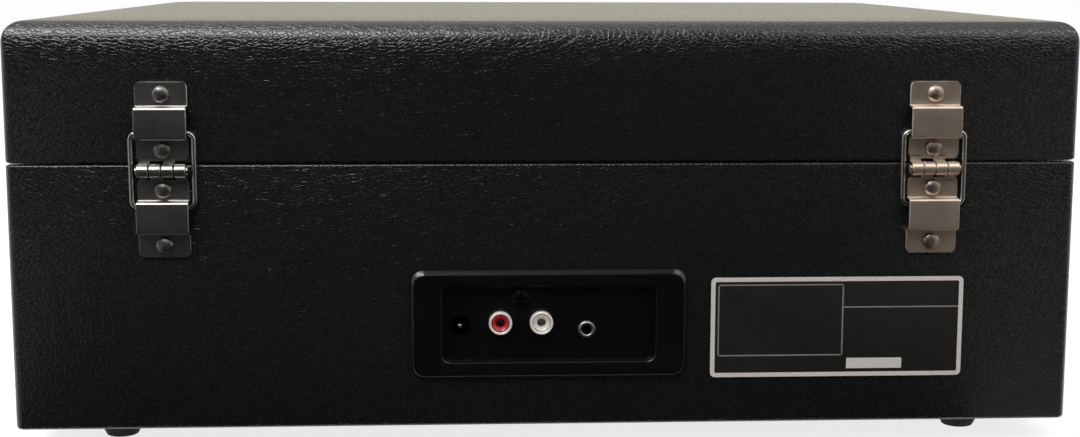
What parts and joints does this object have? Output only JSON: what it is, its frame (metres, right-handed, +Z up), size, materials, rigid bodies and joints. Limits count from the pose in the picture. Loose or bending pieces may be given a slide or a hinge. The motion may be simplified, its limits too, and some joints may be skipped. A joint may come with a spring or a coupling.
{
  "type": "suitcase record player",
  "caption": "Black leatherette suitcase record player with a hinged lid, check loops, rear jack panel, carrying handle, latches, belt-driven platter and tonearm.",
  "frame": {"origin": "under the middle of the object's box, on the surface that the feet stand on", "axes": "+X to the right seen from the front, -Y the front with handle and latches, +Y the rear with hinges and jack panel, +Z up"},
  "size_m": [0.385, 0.3306, 0.1568],
  "materials": {
    "case_leatherette": "black pebbled leatherette over fibreboard",
    "fibreboard": "dark painted fibreboard",
    "foot_rubber": "matt black rubber",
    "hinge_gunmetal": "darkened pressed steel with worn edges",
    "loop_steel": "drawn steel wire",
    "panel_plastic": "black moulded plastic",
    "nickel": "nickel plate",
    "dark_screw": "blackened steel",
    "white_insert": "white plastic",
    "red_insert": "red plastic",
    "rating_plate": "blank black foil with a light border",
    "handle_grip": "black moulded grip",
    "bright_fitting": "nickel plated steel",
    "grille_plastic": "black slotted plastic",
    "speaker_cone": "dark paper cone in a steel basket",
    "deck_plastic": "fine textured black plastic",
    "platter_plastic": "dark moulded plastic",
    "mat_rubber": "ribbed black rubber",
    "drive_steel": "turned steel",
    "belt_rubber": "flat black rubber",
    "arm_plastic": "black moulded plastic",
    "cartridge_plastic": "dark moulded plastic",
    "arm_metal": "satin aluminium",
    "control_plastic": "black moulded plastic",
    "circuit_green": "green circuit laminate"
  },
  "bodies": {
    "base": {"base_shell": "case_leatherette", "bottom_board": "fibreboard", "foot_front_left": "foot_rubber", "foot_front_right": "foot_rubber", "foot_rear_left": "foot_rubber", "foot_rear_right": "foot_rubber", "hinge_lower_leaf_left": "hinge_gunmetal", "hinge_lower_leaf_right": "hinge_gunmetal", "jack_panel": "panel_plastic", "dc_jack": "panel_plastic", "phono_shell_left": "nickel", "phono_shell_right": "nickel", "phono_insert_left": "white_insert", "phono_insert_right": "red_insert", "aux_jack": "nickel", "panel_screw": "dark_screw", "rating_plate": "rating_plate", "handle_bracket_left": "bright_fitting", "handle_bracket_right": "bright_fitting", "latch_plate_left": "bright_fitting", "latch_plate_right": "bright_fitting", "speaker_grille_left": "grille_plastic", "speaker_grille_right": "grille_plastic", "speaker_left": "speaker_cone", "speaker_right": "speaker_cone", "deck_plate": "deck_plastic", "bearing_bush": "drive_steel", "motor": "drive_steel", "drive_belt": "belt_rubber", "tonearm_pedestal": "arm_plastic", "arm_rest": "arm_plastic", "circuit_board": "circuit_green"},
    "lid": {"lid_shell": "case_leatherette", "hinge_upper_leaf_left": "hinge_gunmetal", "hinge_upper_leaf_right": "hinge_gunmetal", "latch_catch_left": "bright_fitting", "latch_catch_right": "bright_fitting"},
    "left_pin": {"hinge_pin_left": "hinge_gunmetal"},
    "right_pin": {"hinge_pin_right": "hinge_gunmetal"},
    "left_loop": {"check_loop_left": "loop_steel"},
    "right_loop": {"check_loop_right": "loop_steel"},
    "carry_handle": {"handle": "handle_grip"},
    "left_latch": {"latch_lever_left": "bright_fitting"},
    "right_latch": {"latch_lever_right": "bright_fitting"},
    "turntable": {"platter": "platter_plastic", "slipmat": "mat_rubber", "spindle": "drive_steel"},
    "pulley": {"motor_pulley": "platter_plastic"},
    "arm_base": {"tonearm_yoke": "arm_plastic"},
    "arm": {"tonearm_tube": "arm_metal", "headshell": "arm_plastic", "cartridge": "cartridge_plastic", "counterweight": "arm_metal"},
    "cue": {"cue_lever": "control_plastic"},
    "speed": {"speed_lever": "control_plastic"},
    "volume": {"volume_knob": "control_plastic"},
    "function": {"function_knob": "control_plastic"}
  },
  "joints": [
    {"name": "lid_hinge", "type": "hinge", "parent": "base", "child": "lid", "pos_m": [0, 0.1628, 0.1035], "axis": [-1, 0, 0], "range_deg": [0, 104]},
    {"name": "left_pin_turn", "type": "hinge", "parent": "base", "child": "left_pin", "pos_m": [-0.1392, 0.1628, 0.1035], "axis": [-1, 0, 0], "range_deg": [0, 52.5]},
    {"name": "right_pin_turn", "type": "hinge", "parent": "base", "child": "right_pin", "pos_m": [0.1369, 0.1628, 0.1035], "axis": [-1, 0, 0], "range_deg": [0, 52.5]},
    {"name": "left_loop_slide", "type": "slide", "parent": "left_pin", "child": "left_loop", "axis": [0, 1, 0], "range_m": [0, 0.0158]},
    {"name": "right_loop_slide", "type": "slide", "parent": "right_pin", "child": "right_loop", "axis": [0, 1, 0], "range_m": [0, 0.0158]},
    {"name": "handle_swing", "type": "hinge", "parent": "base", "child": "carry_handle", "pos_m": [0, -0.1593, 0.0793], "axis": [-1, 0, 0], "range_deg": [0, 90]},
    {"name": "left_latch_flip", "type": "hinge", "parent": "base", "child": "left_latch", "pos_m": [-0.0769, -0.1551, 0.0833], "axis": [1, 0, 0], "range_deg": [0, 120]},
    {"name": "right_latch_flip", "type": "hinge", "parent": "base", "child": "right_latch", "pos_m": [0.0769, -0.1551, 0.0833], "axis": [1, 0, 0], "range_deg": [0, 120]},
    {"name": "platter_spin", "type": "hinge", "parent": "base", "child": "turntable", "pos_m": [-0.055, 0.0097, 0.1], "axis": [0, 0, -1], "continuous": true},
    {"name": "pulley_spin", "type": "hinge", "parent": "base", "child": "pulley", "pos_m": [-0.11889, 0.05785, 0.0963], "axis": [0, 0, -1], "continuous": true},
    {"name": "arm_swing", "type": "hinge", "parent": "base", "child": "arm_base", "pos_m": [0.115, 0.1007, 0.1217], "axis": [0, 0, -1], "range_deg": [0, 46]},
    {"name": "arm_lift", "type": "hinge", "parent": "arm_base", "child": "arm", "pos_m": [0.115, 0.1007, 0.1217], "axis": [-1, 0, 0], "range_deg": [0, 6]},
    {"name": "cue_flip", "type": "hinge", "parent": "base", "child": "cue", "pos_m": [0.147, 0.0347, 0.1013], "axis": [-1, 0, 0], "range_deg": [0, 55]},
    {"name": "speed_turn", "type": "hinge", "parent": "base", "child": "speed", "pos_m": [0.0675, 0.1247, 0.0933], "axis": [0, 0, 1], "range_deg": [-25, 25]},
    {"name": "volume_turn", "type": "hinge", "parent": "base", "child": "volume", "pos_m": [0.083, -0.1013, 0.0933], "axis": [0, 0, -1], "range_deg": [-140, 140]},
    {"name": "function_turn", "type": "hinge", "parent": "base", "child": "function", "pos_m": [0.045, -0.1013, 0.0933], "axis": [0, 0, -1], "range_deg": [-45, 45]}
  ],
  "couplings": [
    {"joint": "left_pin_turn", "follows": "lid_hinge", "ratio": 0.5},
    {"joint": "right_pin_turn", "follows": "lid_hinge", "ratio": 0.5},
    {"joint": "left_loop_slide", "follows": "lid_hinge", "m_per_rad": 0.00867},
    {"joint": "right_loop_slide", "follows": "lid_hinge", "m_per_rad": 0.00867},
    {"joint": "pulley_spin", "follows": "platter_spin", "ratio": 9}
  ]
}
